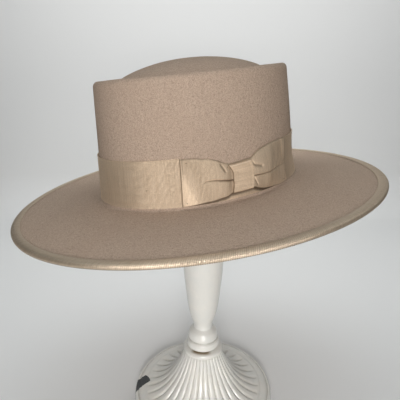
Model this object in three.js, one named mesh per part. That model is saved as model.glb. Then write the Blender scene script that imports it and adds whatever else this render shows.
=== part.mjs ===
// Felt hat with a telescope crown, a wide flat brim, a ribbon band with a flat bow and a bound brim edge,
// leaning on a plain turned stand with a fluted base. Millimetres, +Z up.
// Origin: centre of the flat underside of the stand's base, on the surface that it stands on.
// +X is to the viewer's right and +Y away from the viewer. The hat has its own frame inside its group:
// X along its length with the wearer's front at -X, Y across, Z up, zero where crown and brim meet.
import * as THREE from 'three';

// Felt body: overall sizes include the binding
const crownLength = 208.4;
const crownWidth = 164.6;
const crownTopLength = 187.6;
const crownTopWidth = 151.1;
const crownHeight = 106.7;
const feltWall = 1.8;
const ridgeRadius = 4.5;
const breakRadius = 3;
const domeLength = 139;
const domeWidth = 112;
const domeRise = 13;
const grooveDepth = 8;
const backHollow = 3.2;
const brimLength = 372;
const brimWidth = 336.6;
const brimDroop = 5.4;
const brimEndDroop = 1.8;

// Ribbon trim
const ribbonWall = 1;
const seatGap = 0.3;
const bandHeight = 39.8;
const bandLift = 2.6;
const bindingWidth = 7.8;
const bowLength = 104;
const bowOffset = -5.6;
const bowEndLean = 3;
const wingPuff = 1.6;
const pleatDepth = 0.9;
const knotWidth = 20;
const knotHeight = 25.4;
const knotShift = -1.3;

// Stand
const baseRadius = 83.2;
const baseHeight = 75;
const footHeight = 3;
const beadRadius = 4.4;
const plateHeight = 19;
const plateRadius = 76;
const fluteEndRadius = 67;
const fluteCount = 34;
const fluteDepth = 1.6;
const collarRadius = 23.5;
const collarHeight = 6.8;
const ringsRadius = 18.8;
const ringsHeight = 25.5;
const stemRadius = 22.3;
const headRadius = 22;
const standHeight = 394;

// Pose of the hat on the stand's head
const hatYawDeg = 28.5;
const hatLeanDeg = 5.6;
const hatNodDeg = 2.3;
const contactAlong = 0.172;
const contactAcross = -0.03;
const headGap = 0.45;

// Small roundings and the knot's fold
const bindingRound = 0.6;
const knotRound = 1.4;

// Exponents of the long curves
const domeFlatness = 2.3;
const trumpetFlare = 2.8;
const brimEndCurve = 1.5;

// Facets
const feltSides = 60;
const stemSides = 32;
const headSteps = 8;
const headStartDeg = -54;
const arcSteps = 40;
const slopeStep = 0.01;

// Crown wall, bottom to top: height as a share of crownHeight, and how far the back of the wall
// stands out (+) or in (-) as a share of backHollow
const wallRows = [
  { up: 0.0, back: -0.6 },
  { up: 0.2, back: -1.0 },
  { up: 0.4, back: -0.4 },
  { up: 0.7, back: 0.15 },
  { up: 1.0, back: 0.45 },
];
const backAngle = THREE.MathUtils.degToRad(-35);

// Dome, middle to edge, as shares of its half width
const domeRows = [0.28, 0.52, 0.74, 0.9, 1.0];

// Groove between dome and ridge: way across, and depth as a share of grooveDepth
const grooveRows = [
  { across: 0.38, down: 0.72 },
  { across: 0.7, down: 1.0 },
  { across: 0.93, down: 0.86 },
];

// Brim, as shares of the way from the crown to the edge
const brimRows = [0.33, 0.67, 1.0];

// Wings of the bow from the knot to the free end: way along the wing, lower and upper edge as shares of
// bandHeight, and puff as a share of wingPuff
const wingRows = {
  front: [
    { out: 0.09, low: 0.095, high: 0.73, puff: 1.0 },
    { out: 0.22, low: 0.075, high: 0.82, puff: 1.0 },
    { out: 0.38, low: 0.045, high: 0.9, puff: 0.8 },
    { out: 0.57, low: 0.035, high: 0.955, puff: 0.5 },
    { out: 0.77, low: 0.01, high: 0.98, puff: 0.2 },
    { out: 1.0, low: 0.0, high: 0.985, puff: 0.0 },
  ],
  back: [
    { out: 0.11, low: 0.11, high: 0.855, puff: 1.0 },
    { out: 0.24, low: 0.06, high: 0.925, puff: 1.0 },
    { out: 0.39, low: 0.035, high: 0.99, puff: 0.8 },
    { out: 0.55, low: 0.02, high: 1.03, puff: 0.55 },
    { out: 0.77, low: 0.0, high: 1.035, puff: 0.25 },
    { out: 1.0, low: 0.01, high: 1.01, puff: 0.0 },
  ],
};
const gatherPuff = 0.85;
const bandUnder = 1.2;

// Across the bow ribbon, lower to upper edge: place, puff share and pleat share
const bowAcross = [
  { v: 0.0, puff: 0.2, pleat: 0 },
  { v: 0.2, puff: 0.9, pleat: 0 },
  { v: 0.42, puff: 1.0, pleat: 0 },
  { v: 0.48, puff: 1.0, pleat: 1 },
  { v: 0.55, puff: 1.0, pleat: 0 },
  { v: 0.8, puff: 0.9, pleat: 0 },
  { v: 1.0, puff: 0.2, pleat: 0 },
];

// Stem above the rings, bottom to top: height as a share of the stem's length, radius as a share of stemRadius
const stemRows = [
  { up: 0.006, out: 0.49 },
  { up: 0.05, out: 0.645 },
  { up: 0.095, out: 0.762 },
  { up: 0.15, out: 0.848 },
  { up: 0.203, out: 0.917 },
  { up: 0.257, out: 0.98 },
  { up: 0.31, out: 1.0 },
  { up: 0.45, out: 0.93 },
  { up: 0.62, out: 0.75 },
  { up: 0.78, out: 0.58 },
  { up: 0.88, out: 0.54 },
];

// Two rings under the neck, bottom to top: height as a share of ringsHeight, radius as a share of ringsRadius
const ringRows = [
  { up: 0.0, out: 0.93 },
  { up: 0.04, out: 0.985 },
  { up: 0.2, out: 1.0 },
  { up: 0.35, out: 0.965 },
  { up: 0.4, out: 0.89 },
  { up: 0.46, out: 0.925 },
  { up: 0.64, out: 0.89 },
  { up: 0.8, out: 0.8 },
  { up: 0.91, out: 0.66 },
  { up: 1.0, out: 0.58 },
];

// Collar on top of the base, top to bottom: drop as a share of collarHeight, radius as a share of collarRadius
const collarRows = [
  { down: 0.0, out: 0.8 },
  { down: 0.28, out: 0.985 },
  { down: 0.6, out: 1.0 },
  { down: 1.0, out: 0.96 },
];

// Edge of the base, plate to foot: inset from baseRadius and drop from plateHeight, as shares of beadRadius
const beadRows = [
  { inset: 1.0, down: 0.75 },
  { inset: 0.5, down: 0.8 },
  { inset: 0.0, down: 2.0 },
];
const plateEdgeDown = 0.1;
const fluteTopShare = 0.9;

// Flutes, collar to flute end: way along, and depth as a share of fluteDepth
const fluteRows = [
  { along: 0.0, deep: 0.45 },
  { along: 0.06, deep: 0.6 },
  { along: 0.16, deep: 0.8 },
  { along: 0.32, deep: 1.0 },
  { along: 0.55, deep: 1.0 },
  { along: 0.8, deep: 0.9 },
  { along: 1.0, deep: 0.0 },
];

const lerp = THREE.MathUtils.lerp;
const point = (x, y, z) => new THREE.Vector3(x, y, z);

// Linear reading of a table at a value of its first column
function readTable(rows, key, column, value) {
  const last = rows.length - 1;
  let i = 0;
  while (i < last - 1 && rows[i + 1][key] < value) i += 1;
  const low = rows[i];
  const high = rows[i + 1];
  const share = THREE.MathUtils.clamp((value - low[key]) / (high[key] - low[key]), 0, 1);
  return lerp(low[column], high[column], share);
}

// Angles of a ring with the given number of sides
function ringAngles(sides) {
  return Array.from({ length: sides }, (_, i) => (i / sides) * Math.PI * 2);
}

// Grid of points whose columns close on themselves. Rows close on themselves too, or end in a pole.
function closedMesh(rows, poles = null) {
  const count = rows[0].length;
  const positions = [];
  const index = [];
  rows.forEach((row) => row.forEach((p) => positions.push(p.x, p.y, p.z)));
  const steps = poles ? rows.length - 1 : rows.length;
  for (let i = 0; i < steps; i += 1) {
    const next = (i + 1) % rows.length;
    for (let j = 0; j < count; j += 1) {
      const k = (j + 1) % count;
      index.push(i * count + j, next * count + j, next * count + k);
      index.push(i * count + j, next * count + k, i * count + k);
    }
  }
  if (poles) {
    const first = rows.length * count;
    poles.forEach((p) => positions.push(p.x, p.y, p.z));
    const end = (rows.length - 1) * count;
    for (let j = 0; j < count; j += 1) {
      const k = (j + 1) % count;
      index.push(first, j, k);
      index.push(first + 1, end + k, end + j);
    }
  }
  const geometry = new THREE.BufferGeometry();
  geometry.setAttribute('position', new THREE.Float32BufferAttribute(positions, 3));
  geometry.setIndex(index);
  geometry.computeVertexNormals();
  return geometry;
}

// Crown wall at an angle and height, moved out by a distance
function crownPoint(angle, height, off = 0) {
  const up = height / crownHeight;
  const halfLength = lerp(crownLength, crownTopLength, up) / 2;
  const halfWidth = lerp(crownWidth, crownTopWidth, up) / 2;
  const facing = Math.max(0, Math.cos(angle - backAngle)) ** 2;
  const out = off + backHollow * facing * readTable(wallRows, 'up', 'back', up);
  return point((halfLength + out) * Math.cos(angle), (halfWidth + out) * Math.sin(angle), height);
}

// Dome surface at an angle, at a share of its half width
function domePoint(angle, share) {
  const height = crownHeight + domeRise * (1 - share ** domeFlatness);
  return point((domeLength / 2) * share * Math.cos(angle), (domeWidth / 2) * share * Math.sin(angle), height);
}

// Top face of the felt brim at an angle, at a share of the way to its edge
const bindingBuild = seatGap + ribbonWall;
function brimPoint(angle, share) {
  const inner = crownPoint(angle, 0, breakRadius);
  const x = (brimLength / 2 - bindingBuild) * Math.cos(angle);
  const y = (brimWidth / 2 - bindingBuild) * Math.sin(angle);
  const ends = brimEndDroop * Math.cos(2 * angle) * share ** brimEndCurve;
  return point(lerp(inner.x, x, share), lerp(inner.y, y, share), -brimDroop * share - ends);
}

// Upper face of the felt as rings, from the dome's middle out to the brim's edge
function feltRings() {
  const angles = ringAngles(feltSides);
  const rings = domeRows.map((share) => angles.map((a) => domePoint(a, share)));
  grooveRows.forEach(({ across, down }) => {
    rings.push(angles.map((a) => {
      const ridge = crownPoint(a, crownHeight, -2 * ridgeRadius);
      return domePoint(a, 1).lerp(ridge, across).setZ(crownHeight - grooveDepth * down);
    }));
  });
  [180, 135, 90, 45, 0].forEach((deg) => {
    const turn = THREE.MathUtils.degToRad(deg);
    const height = crownHeight - ridgeRadius * (1 - Math.sin(turn));
    const inset = ridgeRadius * (1 - Math.cos(turn));
    rings.push(angles.map((a) => crownPoint(a, height, -inset)));
  });
  wallRows.slice(1, -1).reverse().forEach(({ up }) => {
    rings.push(angles.map((a) => crownPoint(a, crownHeight * up)));
  });
  [0, 45].forEach((deg) => {
    const turn = THREE.MathUtils.degToRad(deg);
    const height = breakRadius * (1 - Math.sin(turn));
    const out = breakRadius * (1 - Math.cos(turn));
    rings.push(angles.map((a) => crownPoint(a, height, out)));
  });
  [0, ...brimRows].forEach((share) => rings.push(angles.map((a) => brimPoint(a, share))));
  return rings;
}

// Points one wall below a face that is given as rings round a pole
function offsetRings(rings, pole, distance) {
  const count = rings[0].length;
  return rings.map((ring, i) => ring.map((p, j) => {
    const along = point().subVectors(ring[(j + 1) % count], ring[(j + count - 1) % count]);
    const before = i > 0 ? rings[i - 1][j] : pole;
    const after = rings[Math.min(i + 1, rings.length - 1)][j];
    const outward = point().subVectors(after, before);
    return p.clone().addScaledVector(outward.cross(along).normalize(), -distance);
  }));
}

function feltBody() {
  const top = point(0, 0, crownHeight + domeRise);
  const upper = feltRings();
  const lower = offsetRings(upper, top, feltWall);
  return closedMesh([...upper, ...lower.reverse()], [top, point(0, 0, top.z - feltWall)]);
}

// Length along the band from the middle of the wearer's left side, turned into an angle
const bandBuild = seatGap + ribbonWall;
function bandAngle(length) {
  let angle = -Math.PI / 2;
  for (let i = 0; i < arcSteps; i += 1) {
    const radius = Math.hypot((crownLength / 2) * Math.sin(angle), (crownWidth / 2) * Math.cos(angle));
    angle += length / arcSteps / radius;
  }
  return angle;
}

// Length along the band at an angle, the other way round
function bandLength(angle) {
  const step = (angle + Math.PI / 2) / arcSteps;
  let length = 0;
  for (let i = 0; i < arcSteps; i += 1) {
    const middle = (i + 0.5) * step - Math.PI / 2;
    length += step * Math.hypot((crownLength / 2) * Math.sin(middle), (crownWidth / 2) * Math.cos(middle));
  }
  return length;
}

// Height of the band's upper edge, which is gathered down behind the bow and stays under the wings' upper edges
const knotEdge = knotWidth / 2 + ribbonWall;
const wingLength = bowLength / 2 - knotEdge;
function bandTop(angle) {
  const along = bandLength(angle) - bowOffset;
  const rows = along < 0 ? wingRows.front : wingRows.back;
  const high = readTable(rows, 'out', 'high', (Math.abs(along) - knotEdge) / wingLength);
  const gathered = Math.abs(along) < bowLength / 2 ? bandHeight * high - bandUnder : bandHeight;
  return bandLift + Math.min(bandHeight, gathered);
}

function hatBand() {
  const inner = seatGap;
  const outer = seatGap + ribbonWall;
  const middle = crownHeight * wallRows[1].up;
  const columns = ringAngles(feltSides).map((a) => {
    const turned = a > Math.PI ? a - 2 * Math.PI : a;
    const top = bandTop(turned);
    return [
      crownPoint(a, bandLift, inner), crownPoint(a, middle, inner), crownPoint(a, top, inner),
      crownPoint(a, top, outer), crownPoint(a, middle, outer), crownPoint(a, bandLift, outer),
    ];
  });
  return closedMesh(columns.map((column) => column.reverse()));
}

// Ribbon folded over the brim's edge: section points as inset from the felt's edge and height over its top face
function brimBinding() {
  const inner = seatGap;
  const outer = bindingBuild;
  const under = -feltWall;
  const corner = ribbonWall * bindingRound;
  const section = [
    { inset: bindingWidth - outer, rise: outer },
    { inset: -outer + corner, rise: outer },
    { inset: -outer, rise: outer - corner },
    { inset: -outer, rise: under - outer + corner },
    { inset: -outer + corner, rise: under - outer },
    { inset: bindingWidth - outer, rise: under - outer },
    { inset: bindingWidth - outer, rise: under - inner },
    { inset: -inner, rise: under - inner },
    { inset: -inner, rise: inner },
    { inset: bindingWidth - outer, rise: inner },
  ];
  const last = brimRows.length - 1;
  const columns = ringAngles(feltSides).map((a) => {
    const edge = brimPoint(a, 1);
    const inward = brimPoint(a, brimRows[last - 1]).sub(edge).normalize();
    const round = brimPoint(a + slopeStep, 1).sub(brimPoint(a - slopeStep, 1));
    const up = point().crossVectors(round, inward).normalize();
    return section.map(({ inset, rise }) => (
      edge.clone().addScaledVector(inward, inset).addScaledVector(up, rise)
    ));
  });
  return closedMesh(columns.map((column) => column.reverse()));
}

// Bow ribbon: one folded ribbon that lies flat on the band and is gathered under the knot
const bowBack = bandBuild + seatGap;
const bowFold = 2 * ribbonWall;
const bowFront = bowBack + bowFold;
const knotMiddle = bandLift + bandHeight / 2 + knotShift;
function bowSections() {
  const gatherHalf = knotHeight / 2 - ribbonWall - seatGap;
  const gather = [-1, 0, 1].map((side) => ({
    along: side * knotEdge, lean: 0, low: knotMiddle - gatherHalf, high: knotMiddle + gatherHalf, puff: gatherPuff,
  }));
  const wingSections = (rows, side) => rows.map(({ out, low, high, puff }) => ({
    along: side * (knotEdge + wingLength * out),
    lean: side * bowEndLean * out * out,
    low: bandLift + bandHeight * low,
    high: bandLift + bandHeight * high,
    puff,
  }));
  return [...wingSections(wingRows.front, -1).reverse(), ...gather, ...wingSections(wingRows.back, 1)];
}

function bowRibbon() {
  const columns = bowSections().map(({ along, lean, low, high, puff }) => {
    const at = (v, off) => {
      const angle = bandAngle(bowOffset + along + lean * (0.5 - v));
      return crownPoint(angle, lerp(low, high, v), off);
    };
    const proud = (row) => wingPuff * puff * row.puff - pleatDepth * puff * row.pleat;
    const front = bowAcross.map((row) => at(row.v, bowFront + proud(row)));
    const back = bowAcross.map((row) => at(row.v, bowBack));
    return [...front, ...back.reverse()];
  });
  return stripMesh(columns);
}

// Solid from closed sections in a row, with flat ends
function stripMesh(sections) {
  const count = sections[0].length;
  const positions = [];
  const index = [];
  sections.forEach((section) => section.forEach((p) => positions.push(p.x, p.y, p.z)));
  for (let i = 0; i < sections.length - 1; i += 1) {
    for (let j = 0; j < count; j += 1) {
      const k = (j + 1) % count;
      index.push(i * count + j, (i + 1) * count + j, (i + 1) * count + k);
      index.push(i * count + j, (i + 1) * count + k, i * count + k);
    }
  }
  const end = (sections.length - 1) * count;
  for (let j = 0; j < count / 2 - 1; j += 1) {
    const opposite = count - 1 - j;
    index.push(j, j + 1, opposite, j + 1, opposite - 1, opposite);
    index.push(end + j, end + opposite, end + j + 1, end + j + 1, end + opposite, end + opposite - 1);
  }
  const geometry = new THREE.BufferGeometry();
  geometry.setAttribute('position', new THREE.Float32BufferAttribute(positions, 3));
  geometry.setIndex(index);
  geometry.computeVertexNormals();
  return geometry;
}

// Knot: a strip wrapped over the gathered ribbon, with both ends turned back to the band
function bowKnot() {
  const inner = bowFront + wingPuff + seatGap;
  const outer = inner + ribbonWall;
  const half = knotHeight / 2;
  const round = ribbonWall * knotRound;
  const columns = [-1, -0.5, 0, 0.5, 1].map((share) => {
    const angle = bandAngle(bowOffset + (share * knotWidth) / 2);
    const at = (rise, off) => crownPoint(angle, knotMiddle + rise, off);
    return [
      at(-half, bowBack), at(-half, outer - round), at(-half + round, outer),
      at(half - round, outer), at(half, outer - round), at(half, bowBack),
      at(half - ribbonWall, bowBack), at(half - ribbonWall, inner - round / 2), at(half - round, inner),
      at(-half + round, inner), at(-half + ribbonWall, inner - round / 2), at(-half + ribbonWall, bowBack),
    ];
  });
  return stripMesh(columns);
}

// Stem: rings, neck, vase-shaped shaft and the round head under the crown
function standStem() {
  const bottom = baseHeight + seatGap;
  const headCentre = standHeight - headRadius;
  const shaftBottom = bottom + ringsHeight;
  const shaft = headCentre - shaftBottom;
  const profile = [new THREE.Vector2(0, bottom)];
  ringRows.forEach(({ up, out }) => profile.push(new THREE.Vector2(ringsRadius * out, bottom + ringsHeight * up)));
  stemRows.forEach(({ up, out }) => profile.push(new THREE.Vector2(stemRadius * out, shaftBottom + shaft * up)));
  const firstTurn = THREE.MathUtils.degToRad(headStartDeg);
  for (let i = 0; i < headSteps; i += 1) {
    const turn = lerp(firstTurn, Math.PI / 2, i / headSteps);
    profile.push(new THREE.Vector2(headRadius * Math.cos(turn), headCentre + headRadius * Math.sin(turn)));
  }
  profile.push(new THREE.Vector2(0, standHeight));
  return new THREE.LatheGeometry(profile, stemSides).rotateX(Math.PI / 2);
}

// Fluted base: collar, flutes that fan out over a trumpet shape, a plain border, a bead and a flat foot
function standBase() {
  const angles = ringAngles(fluteCount * 2);
  const ring = (radius, height) => angles.map((a) => point(radius * Math.cos(a), radius * Math.sin(a), height));
  const collarBottom = baseHeight - collarHeight;
  const fluteTop = collarRadius * fluteTopShare;
  const trumpet = (radius) => {
    const share = Math.max(0, (plateRadius - radius) / (plateRadius - fluteTop));
    return lerp(plateHeight, collarBottom, share ** trumpetFlare);
  };
  const fluted = fluteRows.map(({ along, deep }) => {
    const radius = lerp(fluteTop, fluteEndRadius, along);
    const slope = (trumpet(radius + slopeStep) - trumpet(radius - slopeStep)) / (2 * slopeStep);
    const size = Math.hypot(slope, 1);
    return angles.map((a, j) => {
      const cut = j % 2 ? fluteDepth * deep : 0;
      const r = radius + (cut * slope) / size;
      return point(r * Math.cos(a), r * Math.sin(a), trumpet(radius) - cut / size);
    });
  });
  const rings = [
    ...collarRows.map(({ down, out }) => ring(collarRadius * out, baseHeight - collarHeight * down)),
    ...fluted,
    ring(plateRadius, plateHeight - beadRadius * plateEdgeDown),
    ...beadRows.map(({ inset, down }) => ring(baseRadius - beadRadius * inset, plateHeight - beadRadius * down)),
    ring(baseRadius, footHeight),
    ring(baseRadius - footHeight / 2, 0),
  ];
  return closedMesh(rings, [point(0, 0, baseHeight), point(0, 0, 0)]);
}

const felt = new THREE.MeshStandardMaterial({ color: 0xa8937f, roughness: 0.95, metalness: 0 });
const ribbon = new THREE.MeshStandardMaterial({ color: 0xbfab8d, roughness: 0.75, metalness: 0 });
const paint = new THREE.MeshStandardMaterial({ color: 0xd7d4cc, roughness: 0.45, metalness: 0 });

function named(name, geometry, material) {
  const mesh = new THREE.Mesh(geometry, material);
  mesh.name = name;
  return mesh;
}

const hat = new THREE.Group();
hat.add(named('felt_body', feltBody(), felt));
hat.add(named('hat_band', hatBand(), ribbon));
hat.add(named('brim_binding', brimBinding(), ribbon));
hat.add(named('bow_ribbon', bowRibbon(), ribbon));
hat.add(named('bow_knot', bowKnot(), ribbon));

// The hat leans until the inside of its dome rests on the round head of the stand
function seatHat() {
  const yaw = new THREE.Matrix4().makeRotationZ(THREE.MathUtils.degToRad(hatYawDeg));
  const nod = new THREE.Matrix4().makeRotationX(THREE.MathUtils.degToRad(hatNodDeg));
  const lean = new THREE.Matrix4().makeRotationY(THREE.MathUtils.degToRad(-hatLeanDeg));
  hat.quaternion.setFromRotationMatrix(lean.multiply(nod).multiply(yaw));
  const angle = Math.atan2(contactAcross, contactAlong);
  const share = Math.hypot(contactAcross, contactAlong);
  const round = domePoint(angle + slopeStep, share).sub(domePoint(angle - slopeStep, share));
  const outward = domePoint(angle, share + slopeStep).sub(domePoint(angle, share - slopeStep));
  const up = outward.cross(round).normalize();
  const centre = domePoint(angle, share).addScaledVector(up, -(feltWall + headGap + headRadius));
  hat.position.copy(point(0, 0, standHeight - headRadius).sub(centre.applyQuaternion(hat.quaternion)));
}
seatHat();

const model = new THREE.Group();
model.add(named('stand_base', standBase(), paint));
model.add(named('stand_stem', standStem(), paint));
model.add(hat);

export default model;
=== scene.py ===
import math

import bpy
import numpy as np
from mathutils import Matrix, Vector


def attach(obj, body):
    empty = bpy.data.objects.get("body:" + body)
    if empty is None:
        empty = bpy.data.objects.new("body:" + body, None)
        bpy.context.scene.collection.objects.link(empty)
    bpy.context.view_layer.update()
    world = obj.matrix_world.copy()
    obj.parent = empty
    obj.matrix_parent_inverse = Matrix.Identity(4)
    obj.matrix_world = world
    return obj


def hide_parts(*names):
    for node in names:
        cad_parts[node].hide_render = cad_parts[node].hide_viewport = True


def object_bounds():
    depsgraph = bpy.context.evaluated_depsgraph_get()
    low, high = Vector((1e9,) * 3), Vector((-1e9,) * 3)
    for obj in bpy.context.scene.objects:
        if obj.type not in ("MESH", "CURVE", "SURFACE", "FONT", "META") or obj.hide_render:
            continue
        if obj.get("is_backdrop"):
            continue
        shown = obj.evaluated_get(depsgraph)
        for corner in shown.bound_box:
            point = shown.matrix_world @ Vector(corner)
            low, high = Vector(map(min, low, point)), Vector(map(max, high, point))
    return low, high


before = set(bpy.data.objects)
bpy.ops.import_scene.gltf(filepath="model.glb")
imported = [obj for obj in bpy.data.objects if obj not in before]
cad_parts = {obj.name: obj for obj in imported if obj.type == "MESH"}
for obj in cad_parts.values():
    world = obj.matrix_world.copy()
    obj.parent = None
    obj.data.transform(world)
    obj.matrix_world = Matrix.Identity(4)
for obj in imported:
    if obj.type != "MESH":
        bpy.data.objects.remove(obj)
CAD_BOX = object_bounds()


def table(names, *rows):
    """A short table with named columns."""
    return dict(zip(names.split(), np.array(rows, float).T))


# Felt body, the same driving sizes as the solid model
CROWN_LENGTH = 0.2084
CROWN_WIDTH = 0.1646
CROWN_TOP_LENGTH = 0.1876
CROWN_TOP_WIDTH = 0.1511
CROWN_HEIGHT = 0.1067
FELT_WALL = 0.0018
RIDGE_RADIUS = 0.0045
BREAK_RADIUS = 0.003
DOME_LENGTH = 0.139
DOME_WIDTH = 0.112
DOME_RISE = 0.013
DOME_FLATNESS = 2.3
GROOVE_DEPTH = 0.008
BACK_HOLLOW = 0.0032
BACK_ANGLE = math.radians(-35)
BRIM_LENGTH = 0.372
BRIM_WIDTH = 0.3366
BRIM_DROOP = 0.0054
BRIM_END_DROOP = 0.0018
BRIM_END_CURVE = 1.5
FELT_WAVE = 0.0003
WAVE_SIZE = 0.075
WAVE_BEND = 1.3
WAVE_BEND_PITCH = 3.7
WAVE_FADE = 4
WAVE_PHASES = np.array([0.6, 3.4, 8.2])

# Ribbon trim
RIBBON_WALL = 0.0008
SEAT_GAP = 0.0003
TRIM_BUILD = 0.0013
BAND_HEIGHT = 0.0398
BAND_LIFT = 0.0026
BAND_UNDER = 0.0012
BAND_UNDER_FADE = 4
BAND_BUILD = 0.0010
BINDING_WIDTH = 0.0078
EDGE_THICKNESS = 0.0044
BINDING_SQUARENESS = 2.7
BEND_REACH = 0.0040
BINDING_SINK = 0.0008
BINDING_EXTRA = 0.0016
WIDE_ANGLE = math.radians(-28)
WIDE_POWER = 4
INNER_FACE = 0.0004
BINDING_RIB_SHARE = 1.6
RIB_PITCH = 0.001
BINDING_RIB_PITCH = 0.0014
RIB_DEPTH = 0.00009
BOW_LENGTH = 0.104
BOW_OFFSET = -0.0056
KNOT_WIDTH = 0.02
KNOT_HEIGHT = 0.0254
KNOT_SHIFT = -0.0013
KNOT_PROUD = 0.0057
WING_FLAT = 0.0027
WING_PUFF = 0.0024
PLEAT_DEPTH = 0.0016
PLEAT_STEP = 0.0005
PLEAT_WIDTH = 0.0008
EDGE_ROLL = 0.0012
END_LIFT = 0.0017
END_LIFT_REACH = 0.0042
END_LIFT_FROM = 0.45
END_LIFT_FADE = 0.25

# Painted shade in the ribbon's folds, along its edges, under and beside the bow and on the binding: places
# and widths in metres, strengths as shares
PLEAT_SHADE = 0.00045
CREASE_SHADE = 0.0016
EDGE_SHADE = 0.0005
END_SHADE_SHARE = 0.45
TOP_SHADE_SHARE = 0.5
UNDER_SHADE = 0.0006
UNDER_PLACE = 0.0009
UNDER_WIDENING = 2
LOWER_SHADE = 0.0007
LOWER_PLACE = 0.0016
FLAT_SHADE = 0.42
FLAT_SHADE_FROM = 0.65
BEYOND_SHADE = 0.012
BEYOND_SHADE_SHARE = 0.3
TUCK_SHADE_PLACE = 0.0019
TUCK_SHADE_SHARE = 0.35

# Stand
BASE_RADIUS = 0.0832
BASE_HEIGHT = 0.075
PLATE_HEIGHT = 0.019
PLATE_RADIUS = 0.076
FLUTE_END_RADIUS = 0.069
FLUTE_COUNT = 34
FLUTE_DEPTH = 0.0019
TRUMPET_FLARE = 2.8
COLLAR_RADIUS = 0.0235
COLLAR_HEIGHT = 0.0068
RINGS_RADIUS = 0.0188
RINGS_HEIGHT = 0.0255
STEM_RADIUS = 0.0223
HEAD_RADIUS = 0.022
STAND_HEIGHT = 0.394

# Pose of the hat on the stand's head
HAT_YAW = math.radians(28.5)
HAT_LEAN = math.radians(5.6)
HAT_NOD = math.radians(2.3)
CONTACT_ALONG = 0.172
CONTACT_ACROSS = -0.03
HEAD_GAP = 0.00045

# Small roundings, folds and irregularities
TOP_SOFTENING = 6
SELVEDGE = 0.0003
SELVEDGE_SHARE = 0.03
SELVEDGE_ROLL = 0.0007
PUCKER = 0.0003
PUCKER_SIZE = 0.0075
PUCKER_AT = -0.108
PUCKER_REACH = 0.014
PUCKER_PHASE = 1.0
RIB_SLANT = 0.3
GATHER_MARGIN = 0.001
BOW_BACK = 0.0012
THIN_EDGE = 0.0002
PUFF_SQUARENESS = 2.4
PLEAT_CROWDING = 1.5
PLEAT_REACH = 0.008
CREASE_FADE = 0.3
KNOT_CORNER = 0.0018
KNOT_BULGE = 0.0004
KNOT_DIP_FRONT = 0.0015
KNOT_DIP_BACK = 0.0005
STITCH_LENGTH = 0.0014
STITCH_RADIUS = 0.0003
FLUTE_TOP = 0.9
FLUTE_CROWDING = 1.3
FLUTE_SHARPNESS = 3.5
RINGS_GROOVE = 0.4
# Grime and painted shade in the stem's ring groove and at its foot
GRIME_AND_SHADE_REACH = 0.0008
CRACK_ANGLE = math.radians(-99)
CRACK_HALF = math.radians(34)
CRACK_WIDTH = 0.0006
CRACK_RADIUS = 0.0215
CRACK_SOLID = 2
CRACK_FALL = 1.6
# Grime and painted shade low on the collar and where the flutes start
COLLAR_GRIME_AND_SHADE = 0.3
COLLAR_GRIME_AND_SHADE_POWER = 4
FLUTE_GRIME_AND_SHADE = 0.45
FLUTE_GRIME_AND_SHADE_REACH = 0.03
CHIP_DEPTH = 0.0002
CHIP_EDGE = 0.0006
MILLIMETRES = 1000

# Mesh density
ARC_POINTS = 4001
FELT_SIDES = 260
DOME_START = 0.03
DOME_ROWS = 22
GROOVE_ROWS = 19
RIDGE_ROWS = 14
WALL_ROWS = 28
BREAK_ROWS = 7
BRIM_ROWS = 26
BAND_STEPS_PER_RIB = 3
BAND_INNER_UP = np.linspace(1, 0, 4)
SECTION_UP = 0.5 - 0.5 * np.cos(np.linspace(0, math.pi, 24))
GIRTH_SIDES = 1040
INWARD_SHARE = 0.9
BINDING_STEPS_PER_RIB = 4
BINDING_BEND_STEPS = 13
BINDING_INNER_STEP = 4
BINDING_FLAT = np.array([1, 0.97, 0.85, 0.5, 0.2])
WING_ACROSS = 81
BOW_STEP = 0.00025
ROLL_STEPS = 6
KNOT_BEND_STEPS = 7
KNOT_FACE_STEPS = 80
KNOT_ACROSS = 61
STITCH_SIDES = 8
STEM_SIDES = 128
RINGS_ROWS = 70
SHAFT_ROWS = 120
HEAD_ROWS = 24
HEAD_START = math.radians(-54)
COLLAR_ROWS = 20
FLUTE_ROWS = 80
SIDES_PER_FLUTE = 20
SWEEP_STEPS = 16

# Camera: it looks along +Y, pitched down, from a height over the place where crown and brim meet
CAMERA_ASIDE = -0.0036
CAMERA_AWAY = 0.3815
CAMERA_ABOVE_BRIM = 0.0903
CAMERA_PITCH = math.radians(16.5)
SENSOR = 36.0
LENS = 33.69

# Crown wall, bottom to top: share of its height, and how far its back stands out as a share of BACK_HOLLOW
WALL = table("up back", (0, -0.6), (0.2, -1), (0.4, -0.4), (0.7, 0.15), (1, 0.45))

# Groove from the dome to the ridge: way across, and depth as a share of GROOVE_DEPTH
GROOVE = table("across down", (0, 0), (0.2, 0.42), (0.45, 0.84), (0.7, 1), (0.88, 0.93), (1, 0.5625))

# Wings of the bow, knot to free end: way out, lower and upper edge as shares of BAND_HEIGHT,
# puff as a share of WING_PUFF and pleat as a share of PLEAT_DEPTH
FRONT_WING = table(
    "out low high puff pleat",
    (0.00, 0.140, 0.760, 0.60, 1.0), (0.09, 0.095, 0.785, 1.00, 1.0), (0.225, 0.073, 0.852, 0.95, 0.95),
    (0.32, 0.058, 0.892, 0.78, 0.8), (0.41, 0.045, 0.922, 0.58, 0.6), (0.51, 0.040, 0.938, 0.35, 0.35),
    (0.60, 0.033, 0.952, 0.17, 0.1), (0.72, 0.020, 0.972, 0.05, 0.0), (0.85, 0.010, 0.980, 0.01, 0.0),
    (1.00, 0.000, 0.985, 0.00, 0.0),
)
BACK_WING = table(
    "out low high puff pleat",
    (0.00, 0.155, 0.790, 0.10, 1.0), (0.10, 0.110, 0.855, 0.65, 1.0), (0.24, 0.060, 0.925, 1.45, 0.8),
    (0.39, 0.033, 0.963, 1.85, 0.6), (0.55, 0.015, 0.993, 1.20, 0.5), (0.75, -0.005, 1.008, 0.35, 0.35),
    (0.90, 0.000, 1.015, 0.20, 0.2), (1.00, 0.003, 1.020, 0.15, 0.1),
)

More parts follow.
